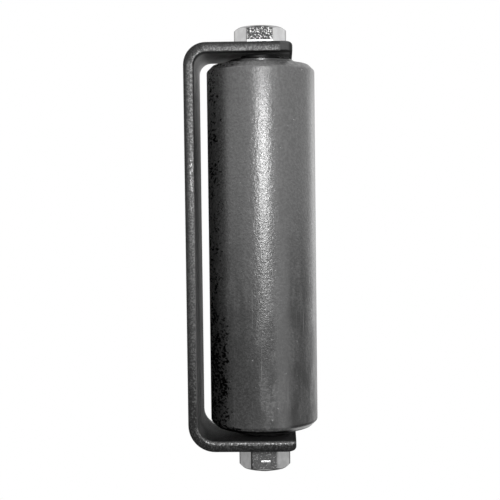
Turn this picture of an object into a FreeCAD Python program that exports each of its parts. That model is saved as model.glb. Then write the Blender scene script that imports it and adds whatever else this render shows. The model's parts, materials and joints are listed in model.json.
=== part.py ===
import FreeCAD, Part
import math
import os
from FreeCAD import Vector

# Belt guide roller, in millimetres: a roller on two sealed ball bearings turns on a bolt in a bent strap.
# The origin is the middle of the strap's back face, which is fixed to a conveyor's frame.
# +X leads from that face to the roller, and +Z runs up the roller's axis to the bolt head.

# Strap bracket, bent from flat bar
strap_width = 50.0
strap_thickness = 5.0
upper_bend_radius = 6.5
lower_bend_radius = 9.0
outer_edge_radius = 2.2
inner_edge_radius = 0.4
tip_corner_radius = 5.5
axis_to_tip = 16.8

# Roller shell, turned from thick-walled tube
roller_diameter = 57.0
roller_length = 191.0
roller_chamfer = 3.2
roller_to_web = 5.5
roller_to_flange = 4.75
mouth_chamfer = 0.6
bearing_shoulder = 2.0

# Axle bolt and nut
bolt_diameter = 16.0
bolt_end_chamfer = 1.2
bolt_past_nut = 1.0
hex_across_flats = 24.0
hex_chamfer_angle = 30.0
hex_face_share = 0.95
head_height = 10.0
washer_face_height = 0.5
nut_height = 13.0
nut_mouth_chamfer = 1.0

# Sealed ball bearing
ball_diameter = 5.95
ball_count = 8
race_wall = 1.675
race_shoulder = 1.2
ring_corner = 0.6
cage_floor = 0.9
cage_rim = 1.4
seal_thickness = 0.9
seal_inset = 0.3
seal_seat_depth = 0.8

# Retaining ring
clip_thickness = 1.5
clip_band = 2.3
clip_groove_depth = 1.0
clip_margin = 3.0
clip_gap_angle = 36.0
clip_lug_angle = 17.0
clip_lug_reach = 4.6
clip_hole_diameter = 2.0

# Collar between flange and bearing
collar_overlap = 0.3
collar_disc = 1.7
collar_chamfer = 0.5
shoulder_inset = 0.4

# Running clearances and fits
bolt_hole_clearance = 0.5
sleeve_clearance = 0.2
bore_fit = 0.05
seat_fit = 0.02
race_clearance = 0.1
pocket_clearance = 0.125
cage_to_land = 0.5
cage_to_seal = 0.3
seal_lip_clearance = 0.2
collar_to_roller = 0.8
clip_slack = 0.1

# Radii and heights that follow from those sizes
bolt_radius = bolt_diameter / 2
ball_radius = ball_diameter / 2
roller_radius = roller_diameter / 2
pitch_radius = bolt_radius + race_wall + race_clearance + ball_radius
bearing_radius = pitch_radius + ball_radius + race_clearance + race_wall
bearing_width = ball_diameter + 2 * (
    pocket_clearance + cage_floor + cage_to_seal + seal_thickness + seal_inset
)
inner_land_radius = bolt_radius + race_wall + race_shoulder
outer_land_radius = bearing_radius - race_wall - race_shoulder
seal_seat_radius = outer_land_radius + seal_seat_depth
sleeve_radius = inner_land_radius - shoulder_inset
seat_radius = bearing_radius + seat_fit
shell_bore_radius = seat_radius - bearing_shoulder
collar_radius = bearing_radius + collar_overlap
groove_width = clip_thickness + clip_slack

back_to_axis = strap_thickness + roller_to_web + roller_radius
tip_x = back_to_axis + axis_to_tip
roller_end = roller_length / 2
groove_outer = roller_end - clip_margin
bearing_outer = groove_outer - groove_width
bearing_inner = bearing_outer - bearing_width
bearing_middle = (bearing_outer + bearing_inner) / 2
flange_inside = roller_end + roller_to_flange
flange_outside = flange_inside + strap_thickness

up = Vector(0, 0, 1)


def on_axis(height):
    """Point of the roller axis at a height."""
    return Vector(back_to_axis, 0, height)


def turned(outline):
    """Solid turned about the roller axis from the (radius, height) corners of its section."""
    corners = [on_axis(height) + Vector(radius, 0, 0) for radius, height in outline]
    section = Part.Face(Part.makePolygon(corners + corners[:1]))
    return section.revolve(on_axis(0), up, 360)


def ring(inner_radius, outer_radius, first_height, last_height):
    """Plain ring about the roller axis between two heights."""
    return turned([
        (inner_radius, first_height),
        (outer_radius, first_height),
        (outer_radius, last_height),
        (inner_radius, last_height),
    ])


def disc_slice(radius, low, high, middle_angle, sweep_angle):
    """Slice of a disc about the roller axis that spans an angle about its middle direction."""
    start = FreeCAD.Rotation(up, middle_angle - sweep_angle / 2)
    wedge = Part.makeCylinder(radius, high - low, Vector(), up, sweep_angle)
    wedge.Placement = FreeCAD.Placement(on_axis(low), start)
    return wedge


def hexagon(low, height, chamfer_low):
    """Hex prism with flats towards +Y and -Y, its top corners turned off and its lower ones on request."""
    corner_radius = hex_across_flats / math.sqrt(3)
    face_radius = hex_face_share * hex_across_flats / 2
    drop = (corner_radius - face_radius) * math.tan(math.radians(hex_chamfer_angle))
    corners = [
        on_axis(low) + FreeCAD.Rotation(up, 60 * side).multVec(Vector(corner_radius, 0, 0))
        for side in range(6)
    ]
    prism = Part.Face(Part.makePolygon(corners + corners[:1])).extrude(up * height)
    high = low + height
    outline = [(0, low), (corner_radius, low)]
    if chamfer_low:
        outline = [(0, low), (face_radius, low), (corner_radius, low + drop)]
    blank = turned(outline + [(corner_radius, high - drop), (face_radius, high), (0, high)])
    return prism.common(blank)


def strap_line(depth):
    """Edges along the strap at a depth below its outer face, from the upper tip to the lower one."""
    side = -strap_width / 2
    height = flange_outside - depth
    inside = strap_thickness - depth

    def point(x, z):
        return Vector(x, side, z)

    def bend(radius, up_or_down):
        middle = radius * (1 - math.sqrt(0.5))
        stations = [(radius, 0), (middle, middle), (0, radius)]
        return [point(depth + x, up_or_down * (height - z)) for x, z in stations]

    upper_bend = bend(upper_bend_radius + inside, 1)
    lower_bend = bend(lower_bend_radius + inside, -1)[::-1]
    return [
        Part.LineSegment(point(tip_x, height), upper_bend[0]).toShape(),
        Part.Arc(*upper_bend).toShape(),
        Part.LineSegment(upper_bend[-1], lower_bend[0]).toShape(),
        Part.Arc(*lower_bend).toShape(),
        Part.LineSegment(lower_bend[-1], point(tip_x, -height)).toShape(),
    ]


def rim_edges(strap, depth):
    """Edges round the strap's outer or inner face, without the lines where its bends start and end."""
    face = Part.Wire(strap_line(depth)).extrude(Vector(0, strap_width, 0))
    found = []
    for edge in strap.Edges:
        middle = edge.valueAt((edge.FirstParameter + edge.LastParameter) / 2)
        at_tip = abs(middle.x - tip_x) < 1e-6
        along = abs(edge.tangentAt(edge.FirstParameter).y) < 0.5
        if (at_tip or along) and face.distToShape(Part.Vertex(middle))[0] < 1e-6:
            found.append(edge)
    return found


def bracket():
    """Strap bent into a C: web with the mounting face, two flanges, sheared edges and two bolt holes."""
    outer_line = strap_line(0)
    inner_line = strap_line(strap_thickness)
    tips = [
        Part.LineSegment(outer.Vertexes[end].Point, inner.Vertexes[end].Point).toShape()
        for outer, inner, end in ((outer_line[0], inner_line[0], 0), (outer_line[-1], inner_line[-1], -1))
    ]
    section = Part.Wire(Part.__sortEdges__(outer_line + inner_line + tips))
    strap = Part.Face(section).extrude(Vector(0, strap_width, 0))

    tip_corners = [
        edge for edge in strap.Edges
        if abs(edge.BoundBox.ZLength - strap_thickness) < 1e-6 and abs(edge.CenterOfMass.x - tip_x) < 1e-6
    ]
    strap = strap.makeFillet(tip_corner_radius, tip_corners)
    strap = strap.makeFillet(outer_edge_radius, rim_edges(strap, 0))
    strap = strap.makeFillet(inner_edge_radius, rim_edges(strap, strap_thickness))

    hole_radius = bolt_radius + bolt_hole_clearance
    drill = Part.makeCylinder(hole_radius, 2 * flange_outside, on_axis(-flange_outside), up)
    return strap.cut(drill)


def axle_bolt():
    """Hex bolt with a washer face, long enough to pass the nut."""
    end = -flange_outside - nut_height - bolt_past_nut
    seat = flange_outside + washer_face_height
    shank = turned([
        (0, end),
        (bolt_radius - bolt_end_chamfer, end),
        (bolt_radius, end + bolt_end_chamfer),
        (bolt_radius, seat),
        (0, seat),
    ])
    washer_face_radius = hex_face_share * hex_across_flats / 2
    washer_face = ring(bolt_radius, washer_face_radius, flange_outside, seat)
    head = hexagon(seat, head_height - washer_face_height, chamfer_low=False)
    return shank.fuse([washer_face, head]).removeSplitter()


def axle_nut():
    """Hex nut chamfered on both faces, with countersunk ends to its bore."""
    high = -flange_outside
    low = high - nut_height
    bore_radius = bolt_radius + bore_fit
    mouth_radius = bore_radius + nut_mouth_chamfer
    bore = turned([
        (0, low),
        (mouth_radius, low),
        (bore_radius, low + nut_mouth_chamfer),
        (bore_radius, high - nut_mouth_chamfer),
        (mouth_radius, high),
        (0, high),
    ])
    return hexagon(low, nut_height, chamfer_low=True).cut(bore)


def roller_shell():
    """Thick-walled roller with chamfered ends, bearing seats, shoulders and retaining-ring grooves."""
    groove_radius = seat_radius + clip_groove_depth
    upper_half = [
        (roller_radius, roller_end - roller_chamfer),
        (roller_radius - roller_chamfer, roller_end),
        (seat_radius + mouth_chamfer, roller_end),
        (seat_radius, roller_end - mouth_chamfer),
        (seat_radius, groove_outer),
        (groove_radius, groove_outer),
        (groove_radius, bearing_outer),
        (seat_radius, bearing_outer),
        (seat_radius, bearing_inner),
        (shell_bore_radius, bearing_inner),
    ]
    lower_half = [(radius, -height) for radius, height in reversed(upper_half)]
    return turned(upper_half + lower_half)


def inner_spacer():
    """Sleeve on the bolt that keeps the two inner rings apart."""
    return ring(bolt_radius + sleeve_clearance, sleeve_radius, -bearing_inner, bearing_inner)


def collar(outward):
    """Collar: a boss that bears on the inner ring, a disc that covers the roller's mouth, and a neck."""
    bore_radius = bolt_radius + sleeve_clearance
    disc_low = roller_end + collar_to_roller
    disc_high = disc_low + collar_disc
    outline = [
        (bore_radius, bearing_outer),
        (sleeve_radius, bearing_outer),
        (sleeve_radius, disc_low),
        (collar_radius, disc_low),
        (collar_radius, disc_high - collar_chamfer),
        (collar_radius - collar_chamfer, disc_high),
        (sleeve_radius, disc_high),
        (sleeve_radius, flange_inside),
        (bore_radius, flange_inside),
    ]
    return turned([(radius, outward * height) for radius, height in outline])


def retaining_ring(outward):
    """Internal retaining ring: an open band with two drilled lugs, seated on the outer ring's face."""
    outer_radius = seat_radius + clip_groove_depth - seat_fit
    low, high = sorted((outward * bearing_outer, outward * (bearing_outer + clip_thickness)))
    gap_middle = 180
    lug_offset = (clip_gap_angle + clip_lug_angle) / 2
    lug_inner_radius = outer_radius - clip_lug_reach
    clip = ring(outer_radius - clip_band, outer_radius, low, high)
    clip = clip.cut(disc_slice(outer_radius, low, high, gap_middle, clip_gap_angle))
    lug_band = ring(lug_inner_radius, outer_radius, low, high)
    for turn in (-lug_offset, lug_offset):
        angle = gap_middle + turn
        lug = lug_band.common(disc_slice(outer_radius, low, high, angle, clip_lug_angle))
        hole_offset = Vector(lug_inner_radius + clip_hole_diameter, 0, 0)
        hole_place = on_axis(low) + FreeCAD.Rotation(up, angle).multVec(hole_offset)
        hole = Part.makeCylinder(clip_hole_diameter / 2, clip_thickness, hole_place, up)
        clip = clip.fuse(lug).cut(hole)
    return clip.removeSplitter()


def bearing(outward):
    """Pieces of one sealed ball bearing by name: rings with raceways, balls, snap cage and two seals."""
    middle = outward * bearing_middle
    low = middle - bearing_width / 2
    high = middle + bearing_width / 2
    raceway = Part.makeTorus(pitch_radius, ball_radius + race_clearance, on_axis(middle), up)

    inner_ring = ring(bolt_radius + bore_fit, inner_land_radius, low, high).cut(raceway)

    seal_shelf = seal_inset + seal_thickness
    outer_ring = turned([
        (outer_land_radius, low + seal_shelf),
        (seal_seat_radius, low + seal_shelf),
        (seal_seat_radius, low),
        (bearing_radius - ring_corner, low),
        (bearing_radius, low + ring_corner),
        (bearing_radius, high - ring_corner),
        (bearing_radius - ring_corner, high),
        (seal_seat_radius, high),
        (seal_seat_radius, high - seal_shelf),
        (outer_land_radius, high - seal_shelf),
    ]).cut(raceway)

    ball_ways = [
        FreeCAD.Rotation(up, 360 * ball / ball_count).multVec(Vector(1, 0, 0))
        for ball in range(ball_count)
    ]
    balls = Part.makeCompound([
        Part.makeSphere(ball_radius, on_axis(middle) + way * pitch_radius)
        for way in ball_ways
    ])

    pocket_radius = ball_radius + pocket_clearance
    floor = middle - outward * (pocket_radius + cage_floor)
    rim = middle + outward * cage_rim
    cage = ring(inner_land_radius + cage_to_land, outer_land_radius - cage_to_land, floor, rim)
    pockets = [
        Part.makeCylinder(pocket_radius, bearing_radius, on_axis(middle), way)
        for way in ball_ways
    ]
    cage = cage.cut(pockets)

    pieces = {"inner_ring": inner_ring, "outer_ring": outer_ring, "balls": balls, "cage": cage}
    for side, name in ((outward, "outer_seal"), (-outward, "inner_seal")):
        shelf = middle + side * (bearing_width / 2 - seal_shelf)
        face = shelf + side * seal_thickness
        pieces[name] = ring(inner_land_radius + seal_lip_clearance, seal_seat_radius - seat_fit, shelf, face)
    return pieces


def all_pieces():
    """Every piece of the assembly by its node name."""
    pieces = {
        "bracket": bracket(),
        "axle_bolt": axle_bolt(),
        "axle_nut": axle_nut(),
        "roller_shell": roller_shell(),
        "inner_spacer": inner_spacer(),
    }
    for end, outward in (("upper", 1), ("lower", -1)):
        pieces[end + "_collar"] = collar(outward)
        pieces[end + "_retaining_ring"] = retaining_ring(outward)
        for name, shape in bearing(outward).items():
            pieces[end + "_bearing_" + name] = shape
    return pieces


os.makedirs("parts", exist_ok=True)
for node, shape in all_pieces().items():
    shape.exportStep("parts/" + node + ".step")
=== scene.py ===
import json
import math

import bmesh
import bpy
from mathutils import Matrix, Vector

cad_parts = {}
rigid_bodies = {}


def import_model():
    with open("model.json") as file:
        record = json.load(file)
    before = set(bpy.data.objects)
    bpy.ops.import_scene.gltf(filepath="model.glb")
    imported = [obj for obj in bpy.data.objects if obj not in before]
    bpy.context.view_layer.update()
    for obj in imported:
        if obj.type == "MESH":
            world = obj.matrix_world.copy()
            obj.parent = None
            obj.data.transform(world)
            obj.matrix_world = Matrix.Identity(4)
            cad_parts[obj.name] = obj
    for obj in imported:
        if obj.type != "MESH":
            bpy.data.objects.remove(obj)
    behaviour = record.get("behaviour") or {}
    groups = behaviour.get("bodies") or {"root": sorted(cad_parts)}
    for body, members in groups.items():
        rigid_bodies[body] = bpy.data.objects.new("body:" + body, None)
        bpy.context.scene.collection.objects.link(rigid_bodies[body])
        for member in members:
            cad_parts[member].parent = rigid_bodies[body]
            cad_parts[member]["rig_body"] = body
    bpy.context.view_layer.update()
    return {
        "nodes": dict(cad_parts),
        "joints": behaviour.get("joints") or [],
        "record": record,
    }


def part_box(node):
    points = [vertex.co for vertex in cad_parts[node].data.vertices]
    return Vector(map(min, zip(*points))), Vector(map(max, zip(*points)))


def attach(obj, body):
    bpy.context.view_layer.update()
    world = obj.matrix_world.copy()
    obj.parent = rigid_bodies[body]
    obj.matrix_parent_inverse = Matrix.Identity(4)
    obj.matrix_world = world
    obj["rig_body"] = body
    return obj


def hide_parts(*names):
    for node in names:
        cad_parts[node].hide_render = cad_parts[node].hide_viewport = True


# Guide roller in its strap bracket, in metres: a dark steel roller on a hex bolt in a painted strap
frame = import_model()


# Sizes and places read from the frame
def turned_size(node):
    """Outer radius, lowest and highest point of a piece that is round about the roller's axis."""
    low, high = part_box(node)
    return high.x - AXIS_X, low.z, high.z


AXIS_X = frame["joints"][0]["pos_m"][0]
ROLLER_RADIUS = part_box("roller_shell")[1].y
_, _, ROLLER_END = turned_size("roller_shell")
RACE_RADIUS, BEARING_INNER, BEARING_OUTER = turned_size("upper_bearing_outer_ring")
CLIP_RADIUS, _, _ = turned_size("upper_retaining_ring")
SLEEVE_RADIUS, _, _ = turned_size("inner_spacer")
COLLAR_RADIUS, _, FLANGE_INSIDE = turned_size("upper_collar")
_, BOLT_END, BOLT_TOP = turned_size("axle_bolt")
_, NUT_BOTTOM, _ = turned_size("axle_nut")
STRAP_HALF_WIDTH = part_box("bracket")[1].y
FLANGE_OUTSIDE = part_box("bracket")[1].z
TIP_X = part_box("bracket")[1].x - AXIS_X

# Turned forms that the frame's boxes don't give
ROLLER_CHAMFER = 0.0032
MOUTH_CHAMFER = 0.0006
CLIP_MARGIN = 0.003
BEARING_SHOULDER = 0.002
SEAT_FIT = 0.00002
COLLAR_BORE_RADIUS = 0.0082
COLLAR_DISC = 0.0017
COLLAR_CHAMFER = 0.0005
COLLAR_TO_ROLLER = 0.0008
TURNING_STEPS = 192
ARRIS_STEPS = 3
ROLLER_ARRIS = 0.0015
COLLAR_ARRIS = 0.00025

# Bolt thread, nut and their arrises
BOLT_RADIUS = 0.008
THREAD_PITCH = 0.002
THREAD_DEPTH = 0.0012
THREAD_LENGTH = 0.057
THREAD_END_CHAMFER = 0.0012
THREAD_STEPS_ROUND = 64
THREAD_ROWS_PER_TURN = 10
THREAD_ROOT_FLAT = 0.25
THREAD_CREST_FLAT = 0.125
HEAD_ARRIS = 0.00025
NUT_ARRIS = 0.0006
MERGE_DISTANCE = 1e-6
FLAT_ANGLE = math.radians(0.5)
ARRIS_ANGLE = math.radians(25)
SHARP_ANGLE = math.radians(38)
NUT_SHARP_ANGLE = math.radians(14)
HEX_HALF_WIDTH = 0.012
HEX_HALF_SIDE = HEX_HALF_WIDTH / math.sqrt(3)
HEX_FACE_RADIUS = 0.95 * HEX_HALF_WIDTH
HEX_CHAMFER_SLOPE = math.tan(math.radians(30))
NICK_LENGTH = 0.005
NICK_HEIGHT = 0.0012
NICK_SLOPE = math.radians(16.5)
NICK_OFFSET = 0.0007
NICK_BELOW_FLANGE = 0.0078


# Node helpers
class Output:
    """A node's output, which can be wired on or calculated with like a plain number."""

    def __init__(self, socket):
        self.socket = socket
        self.tree = socket.id_data

    def __add__(self, other):
        return calculated("ADD", self, other)

    def __sub__(self, other):
        return calculated("SUBTRACT", self, other)

    def __rsub__(self, other):
        return calculated("SUBTRACT", other, self)

    def __mul__(self, other):
        return calculated("MULTIPLY", self, other)

    def __truediv__(self, other):
        return calculated("DIVIDE", self, other)

    def __rtruediv__(self, other):
        return calculated("DIVIDE", other, self)

    def __abs__(self):
        return calculated("ABSOLUTE", self)


def wire(output, socket):
    """Wires a node's output to an input of the same tree."""
    output.tree.links.new(output.socket, socket)


def add_node(tree, kind, values=None, **settings):
    """New node with its settings, and its inputs set to a value or wired to another node's output."""
    made = tree.nodes.new(kind)
    for name, setting in settings.items():
        setattr(made, name, setting)
    for socket, value in (values or {}).items():
        if isinstance(value, Output):
            wire(value, made.inputs[socket])
        else:
            made.inputs[socket].default_value = value
    return made


def output_of(tree, kind, values=None, socket=0, **settings):
    """One output of a new node."""
    return Output(add_node(tree, kind, values, **settings).outputs[socket])


def outputs_of(made):
    """All outputs of a node, by name."""
    return {socket.name: Output(socket) for socket in made.outputs}


def calculated(operation, first, second=0.0):
    """Result of a math node, of which one number or both are outputs."""
    tree = first.tree if isinstance(first, Output) else second.tree
    return output_of(tree, "ShaderNodeMath", {0: first, 1: second}, operation=operation)


def either(first, second):
    """The larger of two numbers: what is in one mask or the other."""
    return calculated("MAXIMUM", first, second)


def ramp(value, start, end, low=0.0, high=1.0):
    """Number that runs smoothly from low to high as a value goes from start to end."""
    values = {0: value, 1: start, 2: end, 3: low, 4: high}
    return output_of(value.tree, "ShaderNodeMapRange", values, interpolation_type="SMOOTHSTEP")


def mixed(mask, low, high):
    """Number that runs from low to high with a mask."""
    return ramp(mask, 0.0, 1.0, low, high)


def band(value, start, full, fading, end):
    """Mask that rises between start and full, and falls again between fading and end."""
    return ramp(value, start, full) * ramp(value, end, fading)


def axes(place):
    """X, Y and Z of a place."""
    return outputs_of(add_node(place.tree, "ShaderNodeSeparateXYZ", {0: place})).values()


def length(x, y):
    """Length of a flat vector."""
    flat = output_of(x.tree, "ShaderNodeCombineXYZ", {0: x, 1: y})
    return output_of(x.tree, "ShaderNodeVectorMath", {0: flat}, "Value", operation="LENGTH")


def noise(place, scale, detail, roughness):
    """Noise from 0 to 1 over a surface."""
    values = {"Vector": place, "Scale": scale, "Detail": detail, "Roughness": roughness}
    return output_of(place.tree, "ShaderNodeTexNoise", values)


def new_tree(name, kind, inputs, outputs):
    """Node tree with named sockets, its inputs by name, and the sockets of its outputs."""
    tree = bpy.data.node_groups.new(name, kind)
    for label, socket_type in inputs:
        tree.interface.new_socket(label, in_out="INPUT", socket_type="NodeSocket" + socket_type)
    for label, socket_type in outputs:
        tree.interface.new_socket(label, in_out="OUTPUT", socket_type="NodeSocket" + socket_type)
    given = outputs_of(tree.nodes.new("NodeGroupInput"))
    result = tree.nodes.new("NodeGroupOutput").inputs
    return tree, given, result


# Shader groups for effects that several finishes share
def pebbled_skin_group():
    """Fine pebbles all over a surface: their height, and a mask of the few that stand out."""
    tree, given, result = new_tree(
        "pebbled_skin", "ShaderNodeTree",
        [("Vector", "Vector"), ("Grain Size", "Float")],
        [("Height", "Float"), ("Specks", "Float")],
    )
    scale = 1.0 / given["Grain Size"]
    finer = 2.6
    fine_share = 0.4
    standing_out = (0.60, 0.76)
    coarse = noise(given["Vector"], scale, detail=2.0, roughness=0.6)
    fine = noise(given["Vector"], scale * finer, detail=1.0, roughness=0.5)
    wire(coarse + fine * fine_share, result["Height"])
    wire(ramp(fine, *standing_out), result["Specks"])
    return tree


def patches_group():
    """Mask of soft patches, which can be stretched along Z into streaks."""
    tree, given, result = new_tree(
        "patches", "ShaderNodeTree",
        [
            ("Vector", "Vector"), ("Patch Size", "Float"), ("Stretch", "Float"),
            ("Low", "Float"), ("High", "Float"),
        ],
        [("Mask", "Float")],
    )
    factors = output_of(tree, "ShaderNodeCombineXYZ", {0: 1.0, 1: 1.0, 2: 1.0 / given["Stretch"]})
    values = {0: given["Vector"], 1: factors}
    squeezed = output_of(tree, "ShaderNodeVectorMath", values, operation="MULTIPLY")
    clouds = noise(squeezed, 1.0 / given["Patch Size"], detail=4.0, roughness=0.58)
    wire(ramp(clouds, given["Low"], given["High"]), result["Mask"])
    return tree


def rubbed_edge_group():
    """Broken mask of an edge where handling has rubbed the finish, from the distance to that edge."""
    tree, given, result = new_tree(
        "rubbed_edge", "ShaderNodeTree",
        [("Vector", "Vector"), ("Distance", "Float"), ("Reach", "Float"), ("Break-up Size", "Float")],
        [("Mask", "Float")],
    )
    breaks = (0.45, 0.68)
    near = ramp(given["Distance"], given["Reach"], 0.0)
    clouds = noise(given["Vector"], 1.0 / given["Break-up Size"], detail=3.0, roughness=0.65)
    wire(near * ramp(clouds, *breaks), result["Mask"])
    return tree


def turning_marks_group():
    """Height of the fine rings that a cutting tool leaves on a piece turned about the Z axis."""
    tree, given, result = new_tree(
        "turning_marks", "ShaderNodeTree",
        [("Vector", "Vector"), ("Pitch", "Float")],
        [("Height", "Float")],
    )
    x, y, z = axes(given["Vector"])
    values = {"W": (length(x, y) + z) / given["Pitch"], "Scale": 1.0, "Detail": 2.0}
    rings = output_of(tree, "ShaderNodeTexNoise", values, noise_dimensions="1D")
    wire(rings, result["Height"])
    return tree


PEBBLED_SKIN = pebbled_skin_group()
PATCHES = patches_group()
RUBBED_EDGE = rubbed_edge_group()
TURNING_MARKS = turning_marks_group()


def pebbled_skin(place, grain):
    """Height of a pebbled skin with grains of a size, and the mask of its specks."""
    values = {"Vector": place, "Grain Size": grain}
    made = outputs_of(add_node(place.tree, "ShaderNodeGroup", values, node_tree=PEBBLED_SKIN))
    return made["Height"], made["Specks"]


def patches(place, size, low, high, stretch=1.0):
    """Mask of patches of a size, where their noise goes from low to high."""
    values = {"Vector": place, "Patch Size": size, "Stretch": stretch, "Low": low, "High": high}
    return output_of(place.tree, "ShaderNodeGroup", values, "Mask", node_tree=PATCHES)


def rubbed_edge(place, distance, reach, break_up):
    """Mask of an edge that is rubbed as far as its reach, in spots of the break-up's size."""
    values = {"Vector": place, "Distance": distance, "Reach": reach, "Break-up Size": break_up}
    return output_of(place.tree, "ShaderNodeGroup", values, "Mask", node_tree=RUBBED_EDGE)


def turning_marks(place, pitch):
    """Height of turning marks of a pitch."""
    values = {"Vector": place, "Pitch": pitch}
    return output_of(place.tree, "ShaderNodeGroup", values, "Height", node_tree=TURNING_MARKS)


# Material helpers
def grey(level):
    """Neutral colour of a linear level."""
    return (level, level, level, 1.0)


def new_finish(name, **constants):
    """Material, the inputs of its shader with their constants, and the place from the roller's axis."""
    material = bpy.data.materials.new(name)
    material.use_nodes = True
    tree = material.node_tree
    shader = tree.nodes["Principled BSDF"].inputs
    for socket, value in constants.items():
        shader[socket.replace("_", " ")].default_value = value
    place = output_of(tree, "ShaderNodeTexCoord", socket="Object")
    values = {"Vector": place, "Location": (-AXIS_X, 0, 0)}
    return material, shader, output_of(tree, "ShaderNodeMapping", values)


def tones(mask, first, second):
    """Colour between two levels or colours by a mask."""
    first, second = [grey(tone) if isinstance(tone, float) else tone for tone in (first, second)]
    return output_of(mask.tree, "ShaderNodeMix", {0: mask, 6: first, 7: second}, 2, data_type="RGBA")


def relief(shader, height, depth):
    """Bump of a depth in metres on a shader."""
    bump = output_of(height.tree, "ShaderNodeBump", {"Height": height, "Distance": depth})
    wire(bump, shader["Normal"])


# Bends of the strap, and the crown, edge and tip on which its paint is worn or carries a painted
# highlight
UPPER_BEND_RADIUS = 0.0115
LOWER_BEND_RADIUS = 0.014
BEND_CHANGE_HEIGHT = (-0.01, 0.01)
BEND_FADE = 0.003
STRAP_THICKNESS = 0.005
INNER_SIDE_DEPTH = (STRAP_THICKNESS - 0.0006, STRAP_THICKNESS - 0.0001)
CROWN_START = 0.0006
CROWN_DEPTH = 0.0042
CROWN_END = 0.0062
EDGE_START = STRAP_HALF_WIDTH - 0.0022
EDGE_FULL = STRAP_HALF_WIDTH - 0.0004
TIP_START = TIP_X - 0.0063
TIP_FADE = 0.0004
TIP_END_X = (TIP_X - 0.0024, TIP_X - 0.0008)

# Painted light and shade, wear and grain on the strap: start and end of each range, and the values there
# if not 0 and 1
CROWN_AND_TIP_HEIGHT = (-0.103, 0.06, 0.03, 1.0)
BEND_ARRIS_HEIGHT = (-0.05, 0.05, 0.45, 1.0)
ARRIS_HIGHLIGHT_LINE = (0.0009, 0.0002, 0.0, 0.2)
LOW_FLANGE_HEIGHT = (0.004 - FLANGE_INSIDE, -FLANGE_INSIDE)
LOW_FLANGE_WIDTH = (STRAP_HALF_WIDTH - 0.0055, STRAP_HALF_WIDTH - 0.001)
LOW_SHADE_HEIGHT = (-0.3 * FLANGE_INSIDE, -FLANGE_INSIDE)
GRAIN_DEPTH = (CROWN_START, CROWN_DEPTH, 0.3, 1.0)
UNDERSIDE_WIDTH = (EDGE_FULL, STRAP_HALF_WIDTH - 0.0012)
UNDERSIDE_HEIGHT = (FLANGE_INSIDE - 0.004, FLANGE_INSIDE - 0.001)
UNDERSIDE_X = (-0.025, -0.01)
CORNER_HEIGHT = (0.045, 0.09)
CORNER_X = (-0.024, -0.033)
FLANGE_TOP_HEIGHT = (0.003 - FLANGE_INSIDE, 0.0005 - FLANGE_INSIDE)
FLANGE_TOP_X = (-0.02, -0.005)
LIT_STRIP_HEIGHT = (0.09, -0.09, 0.002, 0.026)
WEB_X = (-0.03, -0.0335)
BEND_GLOW_HEIGHT = (0.078, 0.094)
BEND_GLOW_X = (-0.028, -0.0335)
BEND_GLOW_Y = (-0.021, -0.012)
FRONT_SHADE_HEIGHT = (0.0, 0.04)
FRONT_SHADE_WIDTH = (0.012, 0.005)
SHADED_CORNER_HEIGHT = (-0.075, -0.09)
SHADED_CORNER_X = (-0.012, -0.022)

# Bands on the strap: where each starts, is full, begins to fade and ends
CROWN_DEPTHS = (CROWN_START, CROWN_DEPTH, CROWN_DEPTH, CROWN_END)
GLINT_DEPTHS = (0.0026, 0.0034, 0.0038, 0.0045)
GLINT_HEIGHTS = (0.016, 0.028, 0.042, 0.052)
LOW_WEB_HEIGHTS = (-0.1, -0.075, -0.03, 0.03)

# Grey levels of the strap's paint, of the painted light and shade on it and of the steel under it
PAINT_TONE = 0.014
WORN_PAINT_TONE = 0.022
LOW_SHADE_TONE = 0.004
GRAIN_TONE = 0.05
LOW_GRAIN_TONE = 0.09
PEBBLE_TONE = 0.06
UNDERSIDE_LIGHT_TONE = 0.28
UNDERSIDE_BEND_LIGHT_TONE = 0.06
CORNER_LIGHT_TONE = 0.2
FLANGE_TOP_LIGHT_TONE = 0.022
WEB_LIGHT_TONE = 0.08
BEND_GLOW_TONE = 0.5
FRONT_SHADE_TONE = 0.006
TIP_TONE = 0.07
TIP_END_TONE = 0.006
CROWN_HIGHLIGHT_TONE = 0.28
GLINT_TONE = 0.95
BARE_AND_HIGHLIGHT_TONE = 0.9

# Patches on the strap's paint: size, noise at which they start and are full, and stretch
WEAR_PATCHES = (0.012, 0.35, 0.7)
SPECKLE_PATCHES = (0.0009, 0.46, 0.58)
GRAIN_PATCHES = (0.0011, 0.5, 0.6)
GLINT_PATCHES = (0.0006, 0.55, 0.6, 2.4)

# Skin, wear and painted crown highlight of the strap's paint, and how it reflects
PAINT_PEBBLES = 0.0013
PAINT_RELIEF = 0.00022
ARRIS_REACH = 0.0017
ARRIS_BREAK_UP = 0.001
CROWN_IN_BENDS = 0.2
CROWN_BETWEEN_SPECKLES = 0.4
PAINT_ROUGHNESS = 0.72
WORN_PAINT_ROUGHNESS = 0.8
RUBBED_AND_LIT_ROUGHNESS = 0.5
RUBBED_LIT_AND_SHADED_METAL = 0.5


# Finishes
def strap_depth(x, z):
    """Depth of a place under the strap's outer surface, also round the bends, and a mask of the bends."""
    bend = ramp(z, *BEND_CHANGE_HEIGHT, LOWER_BEND_RADIUS, UPPER_BEND_RADIUS)
    across = either(bend - (x + AXIS_X), 0.0)
    along = either(bend - (FLANGE_OUTSIDE - abs(z)), 0.0)
    bent = ramp(calculated("MINIMUM", across, along), 0.0, BEND_FADE)
    return bend - length(across, along), bent


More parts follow.
